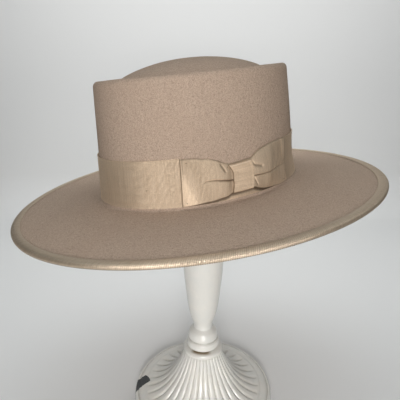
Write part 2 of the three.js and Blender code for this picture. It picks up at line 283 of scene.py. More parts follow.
# Free ends of the wings, lower to upper edge: how far the end stands out past the half length
FRONT_END = table("up out", (0, 0.0013), (0.5, 0.0009), (1, 0.0004))
BACK_END = table("up out", (0, 0.0065), (0.2, 0.0056), (0.42, 0.0052), (0.62, 0.0036), (1, 0.0031))

# Height of the pleat's line along each wing, as a share of BAND_HEIGHT
FRONT_PLEAT = table(
    "out height", (0, 0.43), (0.2, 0.465), (0.37, 0.49), (0.52, 0.485), (0.62, 0.44), (1, 0.44)
)
BACK_PLEAT = table("out height", (0, 0.40), (0.2, 0.405), (0.5, 0.42), (1, 0.43))

# Small creases: start and end as length along the band and height over its lower edge, depth and width
CREASES = table(
    "s0 z0 s1 z1 depth width",
    (-0.0251, 0.0346, -0.0206, 0.0265, 0.0007, 0.0010),
    (0.0041, 0.0321, 0.0082, 0.0272, 0.0009, 0.0009),
    (0.0075, 0.0277, 0.0155, 0.0253, 0.0008, 0.0014),
    (0.0062, 0.0176, 0.0100, 0.0088, 0.0006, 0.0007),
)

# Edges of the knot, lower to upper end: places along the band
KNOT_EDGES = table(
    "up front back",
    (0, -0.0164, 0.0037), (0.35, -0.0152, 0.0049), (0.65, -0.0152, 0.0054), (0.85, -0.0166, 0.0046),
    (1, -0.0186, 0.0032),
)
# Across the knot, front to back: height of its face over KNOT_PROUD
KNOT_FACE = table(
    "across rise",
    (0, -0.0013), (0.05, -0.0004), (0.14, 0.0), (0.5, 0.0003), (0.78, 0.0), (0.85, -0.00025),
    (0.91, -0.0001), (0.96, -0.0001), (1, -0.0012),
)

# Stem above the rings: share of the shaft's length, radius as a share of STEM_RADIUS
STEM = table(
    "up out",
    (0.0, 0.49), (0.006, 0.49), (0.05, 0.645), (0.095, 0.762), (0.15, 0.848), (0.203, 0.917), (0.257, 0.98),
    (0.31, 1.0), (0.45, 0.93), (0.62, 0.75), (0.78, 0.58), (0.88, 0.54),
)
# Two rings under the neck: share of RINGS_HEIGHT, radius as a share of RINGS_RADIUS
RINGS = table(
    "up out",
    (0.0, 0.93), (0.04, 0.985), (0.2, 1.0), (0.33, 0.975), (0.385, 0.9), (0.42, 0.89),
    (0.47, 0.925), (0.64, 0.89), (0.8, 0.8), (0.9, 0.66), (0.95, 0.59), (1.0, 0.58),
)
# Collar on top of the base: way down as a share of COLLAR_HEIGHT, radius as a share of COLLAR_RADIUS
COLLAR = table(
    "down out", (0, 0.8), (0.1, 0.9), (0.28, 0.97), (0.5, 1.0), (0.7, 1.0), (0.88, 0.97), (1, 0.93)
)

# Rim of the base, flute end to foot: shares of BASE_RADIUS and PLATE_HEIGHT, and how much grime and painted
# shade it has
RIM = table(
    "out up grime",
    (0.83, 1.005, 0), (0.86, 0.995, 0), (0.89, 0.985, 0), (0.915, 0.965, 0), (0.933, 0.93, 0.1),
    (0.942, 0.895, 0.7), (0.949, 0.875, 1), (0.957, 0.885, 0.5), (0.967, 0.895, 0), (0.979, 0.865, 0),
    (0.989, 0.79, 0), (0.996, 0.69, 0), (1.0, 0.57, 0), (1.0, 0.42, 0), (1.0, 0.26, 0.1), (0.997, 0.16, 0.3),
    (0.991, 0.08, 0.5), (0.985, 0.02, 0.6), (0.98, 0, 0.6),
)

# Flutes, collar to flute end: way along, and depth as a share of FLUTE_DEPTH
FLUTES = table(
    "along deep",
    (0, 0.45), (0.06, 0.6), (0.16, 0.8), (0.32, 1), (0.55, 1), (0.8, 0.95), (0.95, 0.45), (1, 0),
)

# Outlines on the plan where the paint is chipped off the rim down to black
CHIP = np.array([
    (-0.0736, 0.0103), (-0.0698, 0.0095), (-0.0668, 0.0046), (-0.0651, 0.0006), (-0.0677, -0.0017),
    (-0.0730, -0.0064), (-0.0771, -0.0102), (-0.0805, -0.0140), (-0.0850, -0.0150), (-0.0850, 0.0020),
    (-0.0790, 0.0060),
])
SCRATCH = np.array([
    (-0.0704, -0.0165), (-0.0680, -0.0200), (-0.0672, -0.0240), (-0.0680, -0.0280), (-0.0668, -0.0245),
    (-0.0670, -0.0200),
])

# Thread ends on the ribbon: length along the band, height over its lower edge's plane, stand-off and tilt
STITCHES = table(
    "length height off tilt",
    (-0.0528, 0.0386, 0.0030, 0.4), (-0.0548, 0.0057, 0.0030, -0.3), (-0.0194, 0.0309, 0.0044, 0.9),
    (0.0455, 0.0058, 0.0032, 0.2), (-0.0875, 0.0180, 0.0014, -0.8),
)

# Colours, linear, and how glossy and rough the ribbons are
FELT_DARK = (0.31, 0.23, 0.175, 1)
FELT_LIGHT = (0.62, 0.475, 0.37, 1)
FELT_MOTTLE = (0.47, 0.345, 0.26, 1)
# Darker tone for the weave's uneven grain and for painted shade in the rib hollows
RIBBON_DARK_WEAVE_AND_SHADE = (0.25, 0.18, 0.12, 1)
# Colour of the painted shade in the ribbon's folds, along its edges and on the band under the bow
RIBBON_PAINTED_SHADE = (0.10, 0.065, 0.04, 1)
RIBBON_BASE = (0.78, 0.605, 0.43, 1)
RIBBON_LIGHT = (0.90, 0.72, 0.535, 1)
RIBBON_GLOSS = 0.6
RIBBON_ROUGH = 0.6
# Binding ribbon's colours: a darker copy of the band ribbon's, tuned to how light falls on the binding, so
# painted shade
EDGE_SHADED_BASE = (0.70, 0.56, 0.415, 1)
EDGE_SHADED_LIGHT = (0.84, 0.685, 0.52, 1)
EDGE_GLOSS = 0.8
EDGE_ROUGH = 0.38
THREAD = (0.30, 0.22, 0.15, 1)
PAINT = (0.79, 0.765, 0.705, 1)
PAINT_COOL = (0.73, 0.725, 0.685, 1)
# Colour of the grime and painted shade in the stand's grooves, joints and flute hollows
GRIME_AND_SHADE = (0.36, 0.33, 0.28, 1)
STAIN = (0.2, 0.13, 0.06, 1)
CHIP_BLACK = (0.010, 0.012, 0.013, 1)
FLOOR = (0.78, 0.775, 0.765, 1)

# Patterns in the materials: grain sizes in metres, shares of the colours, relief in metres, roughness
NOISE_LOW = 0.3
NOISE_HIGH = 0.7
NOISE_DETAIL = 2.0
FINE_DETAIL = 3.0
FELT_GRAIN_SIZE = 0.00075
FELT_FLECK_SIZE = 0.0022
FELT_PATCH_SIZE = 0.03
FLECK_SHARE = 0.35
PATCH_SHARE = 0.30
FELT_RELIEF = 0.0004
WEAVE_SIZE = 0.0007
WEAVE_SHARE = 0.22
# How dark the painted shade in the rib hollows gets, and how wide it is
VALLEY_SHADE_SHARE = 0.42
VALLEY_WIDTH = 0.55
# How dark the painted shade in the ribbon's folds and edges gets
PAINTED_SHADE_SHARE = 0.85
STREAK_SCALE = 0.8
STREAK_CROWDING = 35.0
RIBBON_RELIEF = 0.0001
CLOUD_SIZE = 0.018
SPECK_SIZE = 0.0035
# How unevenly the stand's grime and painted shade lie
GRIME_AND_SHADE_THIN = 0.45
GRIME_AND_SHADE_THICK = 0.85
RAGGED_SIZE = 0.002
RAGGED_REACH = 0.55
CHIP_FADE = 0.12
PAINT_RELIEF = 0.00008
PAINT_ROUGH = 0.3
BARE_ROUGH = 0.6
THREAD_ROUGH = 0.8
FLOOR_ROUGH = 0.9

# Light, in watts and as strengths
KEY_POWER = 3.6
KEY_SIZE = 0.2
KEY_PLACE = (0.0, -0.7, 0.38)
KEY_AIM = (0.0, 0.0, 0.3)
KEY_COLOUR = (1.0, 0.99, 0.985)
TOP_POWER = 17.5
TOP_SIZE = 1.9
TOP_PLACE = (0.0, 0.25, 2.0)
TOP_AIM = (0.0, 0.0, 0.3)
TOP_COLOUR = (0.90, 0.97, 1.0)
LOW_POWER = 0.27
LOW_WIDE = 1.3
LOW_TALL = 0.06
LOW_PLACE = (0.0, -0.55, 0.04)
LOW_AIM = (0.0, 0.0, 0.0)
LOW_COLOUR = (1.0, 0.99, 0.97)
LOW_SPREAD = math.radians(40)
WASH_POWER = 4.6
WASH_SIZE = 1.2
WASH_PLACE = (0.0, 0.35, 0.95)
WASH_AIM = (0.0, 0.75, 0.75)
WASH_COLOUR = (0.99, 1.0, 1.0)
SKY_STRENGTH = 0.04
SKY_COLOUR = (0.94, 0.975, 1.0, 1)

# Stage
WALL_AWAY = 0.75
WALL_HEIGHT = 3.0
WALL_REACH = 4.0
FLOOR_FRONT = -4.5
FLOOR_MIDDLE = -1.0
SWEEP = 0.12


def lerp(a, b, share):
    return a + (b - a) * share


def smooth(rows, column, value):
    """Reads a column at values of the table's first column, on a smooth curve through its rows."""
    x = next(iter(rows.values()))
    y = rows[column]
    slope = np.gradient(y, x)
    flat = np.concatenate([[False], np.diff(y)[1:] * np.diff(y)[:-1] <= 0, [False]])
    slope[flat] = 0
    value = np.clip(value, x[0], x[-1])
    i = np.clip(np.searchsorted(x, value, side="right") - 1, 0, len(x) - 2)
    width = x[i + 1] - x[i]
    t = (value - x[i]) / width
    start = (1 + 2 * t) * (1 - t) ** 2 * y[i] + t * (1 - t) ** 2 * width * slope[i]
    end = t * t * (3 - 2 * t) * y[i + 1] + t * t * (t - 1) * width * slope[i + 1]
    return start + end


def ease(value):
    value = np.clip(value, 0, 1)
    return value * value * (3 - 2 * value)


def near(distance, reach):
    """1 on a line, falling off to nothing beside it."""
    return np.exp(-(distance / reach) ** 2)


def stack(x, y, z):
    return np.stack(np.broadcast_arrays(x, y, z), axis=-1)


def unit(vectors):
    return vectors / np.linalg.norm(vectors, axis=-1, keepdims=True)


# Shapes of the hat in its own frame, zero where crown and brim meet

def crown_point(angle, height, off=0.0):
    up = height / CROWN_HEIGHT
    facing = np.maximum(0, np.cos(angle - BACK_ANGLE)) ** 2
    out = off + BACK_HOLLOW * facing * smooth(WALL, "back", up)
    half_length = lerp(CROWN_LENGTH, CROWN_TOP_LENGTH, up) / 2 + out
    half_width = lerp(CROWN_WIDTH, CROWN_TOP_WIDTH, up) / 2 + out
    return stack(half_length * np.cos(angle), half_width * np.sin(angle), height)


def dome_point(angle, share):
    height = CROWN_HEIGHT + DOME_RISE * (1 - share ** DOME_FLATNESS)
    return stack(DOME_LENGTH / 2 * share * np.cos(angle), DOME_WIDTH / 2 * share * np.sin(angle), height)


def brim_point(angle, share):
    inner = crown_point(angle, 0.0, BREAK_RADIUS)
    x = (BRIM_LENGTH / 2 - TRIM_BUILD) * np.cos(angle)
    y = (BRIM_WIDTH / 2 - TRIM_BUILD) * np.sin(angle)
    ends = BRIM_END_DROOP * np.cos(2 * angle) * share ** BRIM_END_CURVE
    return stack(lerp(inner[..., 0], x, share), lerp(inner[..., 1], y, share), -BRIM_DROOP * share - ends)


# Lengths round the foot of the crown, zero at the middle of the wearer's left side
ARC_ANGLES = np.linspace(-1.5 * math.pi, 0.5 * math.pi, ARC_POINTS)
ARC_SPEEDS = np.hypot(CROWN_LENGTH / 2 * np.sin(ARC_ANGLES), CROWN_WIDTH / 2 * np.cos(ARC_ANGLES))
ARC_STEPS = (ARC_SPEEDS[1:] + ARC_SPEEDS[:-1]) / 2 * np.diff(ARC_ANGLES)
ARC_LENGTHS = np.concatenate([[0], np.cumsum(ARC_STEPS)])
ARC_LENGTHS -= np.interp(-math.pi / 2, ARC_ANGLES, ARC_LENGTHS)
CROWN_GIRTH = ARC_LENGTHS[-1] - ARC_LENGTHS[0]


def band_angle(length):
    """Angle round the crown at a length along it from the middle of the wearer's left side."""
    return np.interp(length, ARC_LENGTHS, ARC_ANGLES)


def hat_matrix():
    """Seats the hat, turned and leaning, with the inside of its dome on the stand's round head."""
    turn = Matrix.Rotation(-HAT_LEAN, 3, "Y") @ Matrix.Rotation(HAT_NOD, 3, "X")
    turn = turn @ Matrix.Rotation(HAT_YAW, 3, "Z")
    angle = math.atan2(CONTACT_ACROSS, CONTACT_ALONG)
    share = math.hypot(CONTACT_ACROSS, CONTACT_ALONG)
    step = 0.01
    round_it = dome_point(angle + step, share) - dome_point(angle - step, share)
    outward = dome_point(angle, share + step) - dome_point(angle, share - step)
    up = unit(np.cross(outward, round_it))
    centre = dome_point(angle, share) - up * (FELT_WALL + HEAD_GAP + HEAD_RADIUS)
    place = Vector((0, 0, STAND_HEIGHT - HEAD_RADIUS)) - turn @ Vector(centre)
    return Matrix.Translation(place) @ turn.to_4x4()


HAT = hat_matrix()


def in_row_frame(points):
    matrix = np.array(HAT)
    return points @ matrix[:3, :3].T + matrix[:3, 3]


# Mesh making

def skin(name, grid, wrap_rows=False, poles=(), ends=False, ribs=None, fields=None):
    """A piece from a grid of points whose columns close on themselves. Rows close too, or end in poles,
    or in flat ends of a strip whose columns run up its face and down its back. ribs gives the places along
    and across the ribbon at a row and column, and fields holds named values at the grid's points."""
    rows, columns = grid.shape[:2]
    steps = rows if wrap_rows else rows - 1
    i, j = [index.ravel() for index in np.meshgrid(np.arange(steps), np.arange(columns), indexing="ij")]
    corner_i = np.stack([i, i + 1, i + 1, i], axis=1)
    corner_j = np.stack([j, j, j + 1, j + 1], axis=1)
    points = grid.reshape(-1, 3)
    faces = (corner_i % rows) * columns + corner_j % columns
    corners = points[faces]
    across = np.cross(corners[:, 2] - corners[:, 0], corners[:, 3] - corners[:, 1])
    inside_out = np.sum(across * (corners[:, 0] - points.mean(axis=0))) < 0
    last = (rows - 1) * columns
    caps = []
    if len(poles):
        first_pole = len(points)
        points = np.concatenate([points, np.array(poles)])
        for a in range(columns):
            b = (a + 1) % columns
            caps.append([first_pole, a, b])
            caps.append([first_pole + 1, last + b, last + a])
    if ends:
        for a in range(columns // 2 - 1):
            quad = [a, a + 1, columns - 2 - a, columns - 1 - a]
            caps.append(quad)
            caps.append([last + k for k in reversed(quad)])
    face_list = faces.tolist() + caps
    if inside_out:
        face_list = [face[::-1] for face in face_list]
        corner_i, corner_j = corner_i[:, ::-1], corner_j[:, ::-1]
    mesh = bpy.data.meshes.new(name)
    mesh.from_pydata(points.tolist(), [], face_list)
    if ribs is not None:
        places = np.zeros((len(mesh.loops), 2))
        places[: faces.size] = np.stack(ribs(corner_i.ravel(), corner_j.ravel()), axis=1)
        mesh.uv_layers.new(name="ribbon").data.foreach_set("uv", places.ravel())
    for field, values in (fields or {}).items():
        filled = np.zeros(len(points))
        filled[: values.size] = values.ravel()
        mesh.attributes.new(field, "FLOAT", "POINT").data.foreach_set("value", filled)
    mesh.polygons.foreach_set("use_smooth", [True] * len(mesh.polygons))
    mesh.update()
    piece = bpy.data.objects.new(name, mesh)
    bpy.context.scene.collection.objects.link(piece)
    return piece


def finish_piece(piece, slot, material, *nodes):
    piece.data.materials.append(material)
    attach(piece, "root")
    if nodes:
        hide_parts(*nodes)
    return piece


def ring_angles(count):
    return np.arange(count) / count * 2 * math.pi


def soften(grid, passes):
    """Rounds a profile by averaging each inner row with its neighbours."""
    for _ in range(passes):
        grid[1:-1] = (grid[:-2] + 2 * grid[1:-1] + grid[2:]) / 4
    return grid


def wander(points):
    """Slow waves through space, between -1 and 1."""
    waves = []
    for k in range(3):
        bend = WAVE_BEND * np.sin(points[..., k - 1] / WAVE_SIZE * WAVE_BEND_PITCH + WAVE_PHASES[k - 1])
        waves.append(np.sin(points[..., k] / WAVE_SIZE * 2 * math.pi + WAVE_PHASES[k] + bend))
    return sum(waves) / len(waves)


# Felt body

def felt_face(angle):
    """Upper face of the felt as rows of points, from the dome's middle out to the brim's edge."""
    dome = [dome_point(angle, share) for share in np.linspace(DOME_START, 1, DOME_ROWS)]
    ridge_foot = crown_point(angle, CROWN_HEIGHT, -2 * RIDGE_RADIUS)
    dome_edge = dome_point(angle, 1.0)
    groove = []
    for across in np.linspace(0, 1, GROOVE_ROWS)[1:-1]:
        row = lerp(dome_edge, ridge_foot, across)
        row[:, 2] = CROWN_HEIGHT - GROOVE_DEPTH * smooth(GROOVE, "down", across)
        groove.append(row)
    top = soften(np.array(dome + groove), TOP_SOFTENING)
    outside = []
    for turn in np.linspace(math.pi, 0, RIDGE_ROWS):
        height = CROWN_HEIGHT - RIDGE_RADIUS * (1 - math.sin(turn))
        outside.append(crown_point(angle, height, -RIDGE_RADIUS * (1 - math.cos(turn))))
    for height in np.linspace(CROWN_HEIGHT - RIDGE_RADIUS, BREAK_RADIUS, WALL_ROWS)[1:-1]:
        outside.append(crown_point(angle, height))
    for turn in np.linspace(0, math.pi / 2, BREAK_ROWS)[:-1]:
        out = BREAK_RADIUS * (1 - math.cos(turn))
        outside.append(crown_point(angle, BREAK_RADIUS * (1 - math.sin(turn)), out))
    brim = [brim_point(angle, share) for share in np.linspace(0, 1, BRIM_ROWS)]
    return np.concatenate([top, np.array(outside + brim)])


def face_normals(face):
    round_it = np.roll(face, -1, axis=1) - np.roll(face, 1, axis=1)
    outward = np.gradient(face, axis=0)
    return unit(np.cross(outward, round_it))


def felt_body():
    face = felt_face(ring_angles(FELT_SIDES))
    normals = face_normals(face)
    edge_share = ease((np.abs(face[..., 2]) - BREAK_RADIUS) / CROWN_HEIGHT * WAVE_FADE)[..., None]
    face = face + normals * edge_share * FELT_WAVE * wander(face)[..., None]
    back = face - face_normals(face) * FELT_WALL
    poles = np.array([[0, 0, CROWN_HEIGHT + DOME_RISE], [0, 0, CROWN_HEIGHT + DOME_RISE - FELT_WALL]])
    grid = np.concatenate([face, back[::-1]])
    return skin("felt_hat_body", in_row_frame(grid), poles=in_row_frame(poles))


# Ribbon band, binding, bow and knot

def wing_share(along):
    """How far out a place on the bow is, from the knot's edge to the free end, and which wing it is on."""
    knot_edge = KNOT_WIDTH / 2 + GATHER_MARGIN
    out = np.clip((np.abs(along) - knot_edge) / (BOW_LENGTH / 2 - knot_edge), 0, 1)
    return out, ease(along / knot_edge / 2 + 0.5)


def wing_value(column, out, toward_back):
    return lerp(smooth(FRONT_WING, column, out), smooth(BACK_WING, column, out), toward_back)


def band_top(length):
    """Upper edge of the band, which stays hidden under the bow where the bow is gathered in."""
    out, toward_back = wing_share(length - BOW_OFFSET)
    tucked = BAND_UNDER * ease((1 - out) * BAND_UNDER_FADE)
    hidden = np.minimum(BAND_HEIGHT, BAND_HEIGHT * wing_value("high", out, toward_back) - tucked)
    return BAND_LIFT + np.where(np.abs(length - BOW_OFFSET) < BOW_LENGTH / 2, hidden, BAND_HEIGHT)


def end_out(up, out, toward_back):
    """How far the bow's free end stands out past its half length, at a share of the band's height."""
    return lerp(smooth(FRONT_END, "out", up), smooth(BACK_END, "out", up), toward_back) * out ** 2


def bow_shadow(length, height):
    """Painted shadow on the band: a dark line beside the bow's free ends, a wider painted shade past the
    back end, and painted shadow under the bow's lower edge.
    """
    along = length - BOW_OFFSET
    out, toward_back = wing_share(along)
    low = BAND_LIFT + BAND_HEIGHT * wing_value("low", out, toward_back)
    past_end = np.abs(along) - BOW_LENGTH / 2 - end_out((height - BAND_LIFT) / BAND_HEIGHT, out, toward_back)
    below = (low - height) / lerp(UNDER_WIDENING, 1, out)
    covered = (low > BAND_LIFT + THIN_EDGE) & (past_end < 0)
    under = near(np.maximum(below - UNDER_PLACE, 0), UNDER_SHADE) * covered
    beyond = BEYOND_SHADE_SHARE * near(past_end, BEYOND_SHADE) * toward_back
    return np.maximum(np.maximum(END_SHADE_SHARE * near(past_end, EDGE_SHADE), beyond), under)


def rib_wave(length, pitch):
    return RIB_DEPTH * (np.abs(np.cos(math.pi * length / pitch)) * 2 - 1)


def closed_ribs(values):
    """Ribbon coordinates with one more step, for a grid that closes on itself."""
    return np.append(values, 2 * values[-1] - values[-2])


def ribbon_band():
    count = round(CROWN_GIRTH / RIB_PITCH) * BAND_STEPS_PER_RIB
    lengths = ARC_LENGTHS[0] + np.arange(count) / count * CROWN_GIRTH
    angle = band_angle(lengths)
    selvedge = SELVEDGE * (near(SECTION_UP, SELVEDGE_SHARE) + near(1 - SECTION_UP, SELVEDGE_SHARE))
    columns = []
    shades = []
    for up, bead in zip(SECTION_UP, selvedge):
        height = lerp(BAND_LIFT, band_top(lengths), up)
        shades.append(bow_shadow(lengths, height))
        ripple = np.sin(height / PUCKER_SIZE * 2 * math.pi + PUCKER_PHASE)
        pucker = PUCKER * ripple * near(lengths - PUCKER_AT, PUCKER_REACH)
        out = BAND_BUILD + rib_wave(lengths, CROWN_GIRTH / count * BAND_STEPS_PER_RIB) + bead + pucker
        columns.append(crown_point(angle, height, out))
    for up in BAND_INNER_UP:
        columns.append(crown_point(angle, lerp(BAND_LIFT, band_top(lengths), up), SEAT_GAP))
        shades.append(0 * lengths)
    grid = np.stack(columns, axis=1)
    fields = {"painted_fold_shade": np.stack(shades, axis=1)}
    u = closed_ribs(lengths)
    v = closed_ribs(np.concatenate([SECTION_UP, BAND_INNER_UP]) * BAND_HEIGHT)
    return skin(
        "ribbon_band", in_row_frame(grid), wrap_rows=True, ribs=lambda i, j: (u[i], v[j]), fields=fields
    )


def binding_section(inside):
    """Section of the folded ribbon, or of a face that lies inside it: inset from the felt's edge, rise
    over the felt's middle, way out, and share of any extra width."""
    flat_share = np.concatenate([BINDING_FLAT, np.zeros(BINDING_BEND_STEPS), BINDING_FLAT[::-1]])
    middle_in = BEND_REACH - TRIM_BUILD
    turn = np.linspace(0, math.pi, BINDING_BEND_STEPS)
    power = 2 / BINDING_SQUARENESS
    bend_in = -np.sin(turn) ** power
    bend_up = np.sign(np.cos(turn)) * np.abs(np.cos(turn)) ** power
    straight = np.ones(len(BINDING_FLAT))
    level = EDGE_THICKNESS / 2 - BINDING_SINK * flat_share ** 2 - inside
    inset = lerp(middle_in, BINDING_WIDTH - TRIM_BUILD, flat_share)
    inset += (BEND_REACH - inside) * np.concatenate([0 * straight, bend_in, 0 * straight])
    rise = level * np.concatenate([straight, bend_up, -straight])
    out_in = np.concatenate([0 * straight, -np.sin(turn), 0 * straight])
    out_up = np.concatenate([straight, np.cos(turn), -straight])
    return inset, rise, out_in, out_up, flat_share


def edge_binding():
    rim = brim_point(ring_angles(GIRTH_SIDES), 1.0)
    girth = np.sum(np.linalg.norm(np.roll(rim, -1, axis=0) - rim, axis=1))
    rib_count = round(girth / BINDING_RIB_PITCH)
    count = rib_count * BINDING_STEPS_PER_RIB
    angle = ring_angles(count)
    lengths = np.arange(count) / count * girth
    extra = BINDING_EXTRA * np.maximum(0, np.cos(angle - WIDE_ANGLE)) ** WIDE_POWER
    edge = brim_point(angle, 1.0)
    inward = unit(brim_point(angle, INWARD_SHARE) - edge)
    round_it = unit(np.roll(edge, -1, axis=0) - np.roll(edge, 1, axis=0))
    upward = unit(np.cross(round_it, inward))
    middle = edge - upward * FELT_WALL / 2
    columns = []
    inset, rise, out_in, out_up, flat_share = binding_section(0)
    walked = np.concatenate([[0], np.cumsum(np.hypot(np.diff(inset), np.diff(rise)))])
    # Painted shade: a dark line low on the binding's outer bend, and a darker upper face where it faces up
    under = near(walked - walked[-1] / 2 - LOWER_PLACE, LOWER_SHADE)
    flat = FLAT_SHADE * ease((out_up - FLAT_SHADE_FROM) / (1 - FLAT_SHADE_FROM))
    for k in range(len(inset)):
        wave = BINDING_RIB_SHARE * rib_wave(lengths + RIB_SLANT * walked[k], girth / rib_count)
        aside = (inset[k] + flat_share[k] * extra + out_in[k] * wave)[:, None]
        up = (rise[k] + out_up[k] * wave)[:, None]
        columns.append(middle + inward * aside + upward * up)
    inset, rise, _, _, _ = binding_section(INNER_FACE)
    inner = list(range(len(inset) - 1, -1, -BINDING_INNER_STEP))
    for k in inner:
        columns.append(middle + inward * (inset[k] + flat_share[k] * extra)[:, None] + upward * rise[k])
    across = np.concatenate([walked, walked[inner]])
    grid = np.stack(columns, axis=1)
    u = closed_ribs(lengths)
    v = closed_ribs(across)
    shade = np.concatenate([np.maximum(under, flat), 0 * walked[inner]]) + 0 * lengths[:, None]
    return skin(
        "brim_edge_binding",
        in_row_frame(grid),
        wrap_rows=True,
        ribs=lambda i, j: (u[i] + RIB_SLANT * v[j], v[j]),
        fields={"painted_fold_shade": shade},
    )


def on_crown(length, height, off):
    return crown_point(band_angle(length), height, off)


def crease_depth(length, height):
    """Depth of the small creases at places on the bow."""
    depth = np.zeros(np.broadcast_shapes(length.shape, height.shape))
    for s0, z0, s1, z1, deep, width in zip(*CREASES.values()):
        run = math.hypot(s1 - s0, z1 - z0)
        along = ((length - s0) * (s1 - s0) + (height - z0) * (z1 - z0)) / run ** 2
        aside = ((length - s0) * (z1 - z0) - (height - z0) * (s1 - s0)) / run
        fade = ease(along / CREASE_FADE + CREASE_FADE) * ease((1 - along) / CREASE_FADE + CREASE_FADE)
        depth += deep * fade * near(aside, width)
    return depth


def edge_roll(distance, roll):
    """How far a rounded edge falls back at a distance from it."""
    reached = np.clip(1 - distance / roll, 0, 1)
    return roll * (1 - np.sqrt(1 - reached ** 2))


def across_wing():
    """Shares across a wing, with points that crowd towards the pleat in the middle."""
    t = np.linspace(-1, 1, WING_ACROSS)
    return 0.5 + 0.5 * np.sign(t) * np.abs(t) ** PLEAT_CROWDING


def wing_lengths():
    """Places along the bow from its middle, crowded at both rounded ends."""
    half = BOW_LENGTH / 2
    roll = EDGE_ROLL * (1 - np.cos(np.linspace(0, math.pi / 2, ROLL_STEPS)))
    middle = np.arange(-half + EDGE_ROLL, half - EDGE_ROLL, BOW_STEP)
    return np.concatenate([-half + roll[:-1], middle, half - roll[::-1]])


def bow_height(along, share):
    """The bow's face: length along the band, height up the crown, stand-off from its wall and shade."""
    out, toward_back = wing_share(along)

    def read(column):
        return wing_value(column, out, toward_back)[:, None]

    low = BAND_LIFT + BAND_HEIGHT * read("low")
    high = BAND_LIFT + BAND_HEIGHT * read("high")
    line_share = lerp(smooth(FRONT_PLEAT, "height", out), smooth(BACK_PLEAT, "height", out), toward_back)
    line = BAND_LIFT + BAND_HEIGHT * line_share[:, None]
    below = lerp(low, line, share * 2)
    above = lerp(line, high, share * 2 - 1)
    height = np.where(share < 0.5, below, above)
    up = (height - BAND_LIFT) / BAND_HEIGHT
    past = end_out(up, out[:, None], toward_back[:, None])
    length = BOW_OFFSET + along[:, None] + np.sign(along)[:, None] * past
    from_low = height - low
    from_high = high - height
    round_up = 1 - np.abs(2 * (height - low) / (high - low) - 1) ** PUFF_SQUARENESS
    pleat = read("pleat")
    over_line = height - line
    groove = PLEAT_DEPTH * pleat * near(over_line + PLEAT_WIDTH / 2, PLEAT_WIDTH)
    step = PLEAT_STEP * pleat * ease(over_line / PLEAT_WIDTH + 0.5)
    step *= np.exp(-np.maximum(over_line, 0) / PLEAT_REACH)
    off = WING_FLAT + WING_PUFF * read("puff") * round_up - groove + step
    crease = crease_depth(length, height)
    off -= crease
    off += rib_wave(length, RIB_PITCH)
    off -= edge_roll(np.minimum(from_low, from_high), SELVEDGE_ROLL)
    from_end = (BOW_LENGTH / 2 - np.abs(along))[:, None]
    off -= edge_roll(from_end, EDGE_ROLL)
    lifted = ease((up - END_LIFT_FROM) / END_LIFT_FADE) * toward_back[:, None]
    off += END_LIFT * lifted * ease(1 - from_end / END_LIFT_REACH)
    # Painted shade along the wing's edges, in the pleat and creases, and inside the folded end
    shade = np.maximum(near(from_low, EDGE_SHADE), TOP_SHADE_SHARE * near(from_high, EDGE_SHADE))
    shade = np.maximum(shade, END_SHADE_SHARE * near(from_end, EDGE_SHADE))
    shade += pleat * near(over_line + PLEAT_WIDTH / 2, PLEAT_SHADE) + crease / CREASE_SHADE
    shade += TUCK_SHADE_SHARE * near(from_end - TUCK_SHADE_PLACE, EDGE_SHADE) * up
    return length, height, np.maximum(off, BOW_BACK + THIN_EDGE), np.clip(shade, 0, 1)


def bow_wings():
    along = wing_lengths()
    share = across_wing()
    length, height, off, shade = bow_height(along, share)
    face = on_crown(length, height, off)
    back = on_crown(length, height, np.full_like(off, BOW_BACK))[:, ::-1]
    grid = np.concatenate([face, back], axis=1)
    v = closed_ribs(np.concatenate([share, share[::-1]]) * BAND_HEIGHT)
    fields = {"painted_fold_shade": np.concatenate([shade, 0 * shade], axis=1)}
    return skin(
        "flat_bow", in_row_frame(grid), ends=True, ribs=lambda i, j: (along[i], v[j]), fields=fields
    )


def knot_path():
    """Way of the knot's strip: up its face, with a round corner at both ends. Rise and stand-off."""
    half = KNOT_HEIGHT / 2
    bend = np.linspace(0, math.pi / 2, KNOT_BEND_STEPS)
    low_rise = -half + KNOT_CORNER * (1 - np.cos(bend))
    low_off = KNOT_PROUD - KNOT_CORNER * (1 - np.sin(bend))
    face = np.linspace(-half + KNOT_CORNER, half - KNOT_CORNER, KNOT_FACE_STEPS)[1:-1]
    rise = np.concatenate([[-half], low_rise, face, -low_rise[::-1], [half]])
    off = np.concatenate([[BOW_BACK], low_off, np.full(len(face), KNOT_PROUD), low_off[::-1], [BOW_BACK]])
    return rise, off


